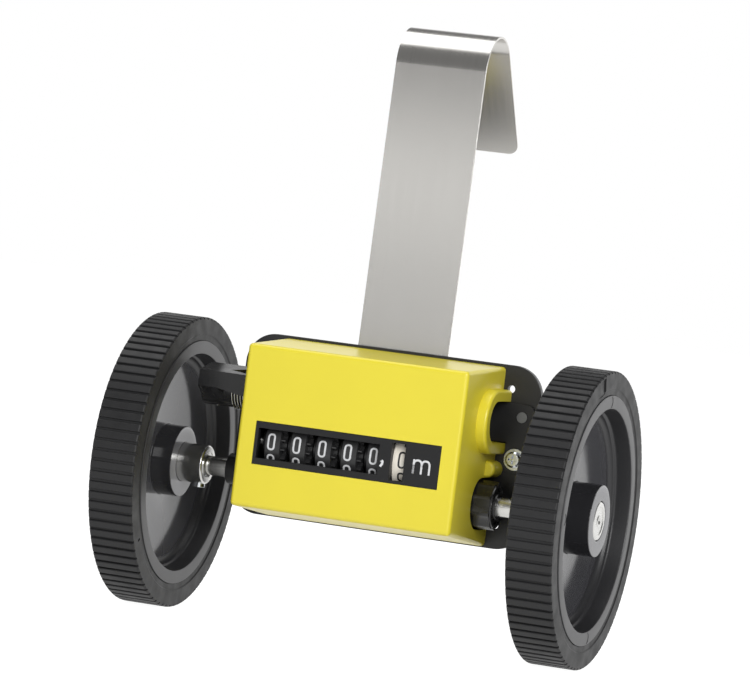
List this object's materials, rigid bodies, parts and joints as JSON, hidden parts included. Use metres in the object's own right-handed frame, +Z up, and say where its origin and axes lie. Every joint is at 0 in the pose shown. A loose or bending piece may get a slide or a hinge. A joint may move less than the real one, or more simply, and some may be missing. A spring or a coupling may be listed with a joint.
{
  "type": "cable length counter",
  "caption": "Hanging cable length counter: two measuring wheels on one axle drive a number drum counter in a yellow case, with a reset lever and a strap hook.",
  "frame": {"origin": "middle of the axle, half way between the two wheels", "axes": "+X along the axle to the right as seen from the window, +Y from the window to the back plate, +Z up to the hook"},
  "size_m": [0.1732, 0.1222, 0.22],
  "materials": {
    "yellow_plastic": "moulded ABS, satin gloss",
    "black_plastic": "moulded, fine texture",
    "wheel_plastic": "moulded, satin",
    "drum_plastic": "moulded, satin",
    "ivory_plastic": "moulded, satin",
    "tyre_rubber": "moulded rubber, matt",
    "black_paint": "powder coat, satin",
    "stainless": "brushed along its length",
    "zinc_steel": "zinc plated",
    "turned_steel": "turned and plated",
    "spring_steel": "drawn wire, plated",
    "gear_brass": "hobbed"
  },
  "bodies": {
    "root": {"case_cover": "yellow_plastic", "number_mask": "black_plastic", "back_plate": "black_paint", "strap_hook": "stainless", "strap_screws": "zinc_steel", "side_frame_left": "black_paint", "side_frame_right": "black_paint", "ear_screws": "zinc_steel", "ear_washers": "zinc_steel", "plate_rivets": "zinc_steel", "case_screws": "zinc_steel", "axle_bush_left": "black_plastic", "axle_bush_right": "black_plastic", "drum_shaft": "turned_steel", "drum_spacer_left": "turned_steel", "drum_spacer_right": "turned_steel", "pinion_shaft": "turned_steel", "idler_shaft": "turned_steel", "frame_stays": "zinc_steel", "shaft_clips": "zinc_steel", "reset_spring": "spring_steel"},
    "wheelset": {"axle": "turned_steel", "wheel_left": "wheel_plastic", "wheel_right": "wheel_plastic", "tyre_left": "tyre_rubber", "tyre_right": "tyre_rubber", "wheel_sleeve_left": "turned_steel", "wheel_sleeve_right": "turned_steel", "wheel_set_screws": "turned_steel", "hand_knob": "black_plastic", "knob_set_screw": "turned_steel", "axle_gear": "gear_brass", "axle_collar": "turned_steel", "collar_set_screw": "turned_steel"},
    "idler": {"idler_large_gear": "gear_brass", "idler_small_gear": "gear_brass"},
    "tenths_drum": {"drum_tenths": "ivory_plastic", "drum_drive_gear": "gear_brass"},
    "metres_drum": {"drum_metres": "drum_plastic"},
    "tens_drum": {"drum_tens": "drum_plastic"},
    "hundreds_drum": {"drum_hundreds": "drum_plastic"},
    "thousands_drum": {"drum_thousands": "drum_plastic"},
    "ten_thousands_drum": {"drum_ten_thousands": "drum_plastic"},
    "pinion_1": {"transfer_pinion_1": "ivory_plastic"},
    "pinion_2": {"transfer_pinion_2": "ivory_plastic"},
    "pinion_3": {"transfer_pinion_3": "ivory_plastic"},
    "pinion_4": {"transfer_pinion_4": "ivory_plastic"},
    "pinion_5": {"transfer_pinion_5": "ivory_plastic"},
    "reset": {"reset_lever": "black_plastic", "reset_shaft": "turned_steel", "reset_comb": "turned_steel", "lever_pin": "turned_steel", "comb_set_screws": "turned_steel"}
  },
  "joints": [
    {"name": "wheels_spin", "type": "hinge", "parent": "root", "child": "wheelset", "pos_m": [0, 0, 0], "axis": [1, 0, 0], "continuous": true},
    {"name": "idler_spin", "type": "hinge", "parent": "root", "child": "idler", "pos_m": [0.0295, -0.00039, 0.01499], "axis": [1, 0, 0], "continuous": true},
    {"name": "tenths_spin", "type": "hinge", "parent": "root", "child": "tenths_drum", "pos_m": [0.01915, -0.0136, 0.0122], "axis": [1, 0, 0], "continuous": true},
    {"name": "metres_spin", "type": "hinge", "parent": "root", "child": "metres_drum", "pos_m": [0.00952, -0.0136, 0.0122], "axis": [1, 0, 0], "continuous": true},
    {"name": "tens_spin", "type": "hinge", "parent": "root", "child": "tens_drum", "pos_m": [-0.00011, -0.0136, 0.0122], "axis": [1, 0, 0], "continuous": true},
    {"name": "hundreds_spin", "type": "hinge", "parent": "root", "child": "hundreds_drum", "pos_m": [-0.00974, -0.0136, 0.0122], "axis": [1, 0, 0], "continuous": true},
    {"name": "thousands_spin", "type": "hinge", "parent": "root", "child": "thousands_drum", "pos_m": [-0.01937, -0.0136, 0.0122], "axis": [1, 0, 0], "continuous": true},
    {"name": "ten_thousands_spin", "type": "hinge", "parent": "root", "child": "ten_thousands_drum", "pos_m": [-0.029, -0.0136, 0.0122], "axis": [1, 0, 0], "continuous": true},
    {"name": "pinion_5_spin", "type": "hinge", "parent": "root", "child": "pinion_5", "pos_m": [0.01432, -0.0136, -0.0018], "axis": [1, 0, 0], "continuous": true},
    {"name": "pinion_4_spin", "type": "hinge", "parent": "root", "child": "pinion_4", "pos_m": [0.00469, -0.0136, -0.0018], "axis": [1, 0, 0], "continuous": true},
    {"name": "pinion_3_spin", "type": "hinge", "parent": "root", "child": "pinion_3", "pos_m": [-0.00494, -0.0136, -0.0018], "axis": [1, 0, 0], "continuous": true},
    {"name": "pinion_2_spin", "type": "hinge", "parent": "root", "child": "pinion_2", "pos_m": [-0.01457, -0.0136, -0.0018], "axis": [1, 0, 0], "continuous": true},
    {"name": "pinion_1_spin", "type": "hinge", "parent": "root", "child": "pinion_1", "pos_m": [-0.0242, -0.0136, -0.0018], "axis": [1, 0, 0], "continuous": true},
    {"name": "reset_press", "type": "hinge", "parent": "root", "child": "reset", "pos_m": [-0.05, -0.0029, 0.0286], "axis": [1, 0, 0], "range_deg": [0, 25], "stiffness_Nm_per_rad": 0.0064, "springref_deg": -31.51, "deforming": ["reset_spring"]}
  ],
  "couplings": [
    {"joint": "idler_spin", "follows": "wheels_spin", "ratio": -0.66667},
    {"joint": "tenths_spin", "follows": "wheels_spin", "ratio": 0.33333},
    {"joint": "metres_spin", "follows": "wheels_spin", "ratio": 0.033333},
    {"joint": "tens_spin", "follows": "wheels_spin", "ratio": 0.0033333},
    {"joint": "hundreds_spin", "follows": "wheels_spin", "ratio": 0.00033333},
    {"joint": "thousands_spin", "follows": "wheels_spin", "ratio": 0.000033333},
    {"joint": "ten_thousands_spin", "follows": "wheels_spin", "ratio": 0.0000033333},
    {"joint": "pinion_5_spin", "follows": "wheels_spin", "ratio": -0.083333},
    {"joint": "pinion_4_spin", "follows": "wheels_spin", "ratio": -0.0083333},
    {"joint": "pinion_3_spin", "follows": "wheels_spin", "ratio": -0.00083333},
    {"joint": "pinion_2_spin", "follows": "wheels_spin", "ratio": -0.000083333},
    {"joint": "pinion_1_spin", "follows": "wheels_spin", "ratio": -0.0000083333}
  ]
}
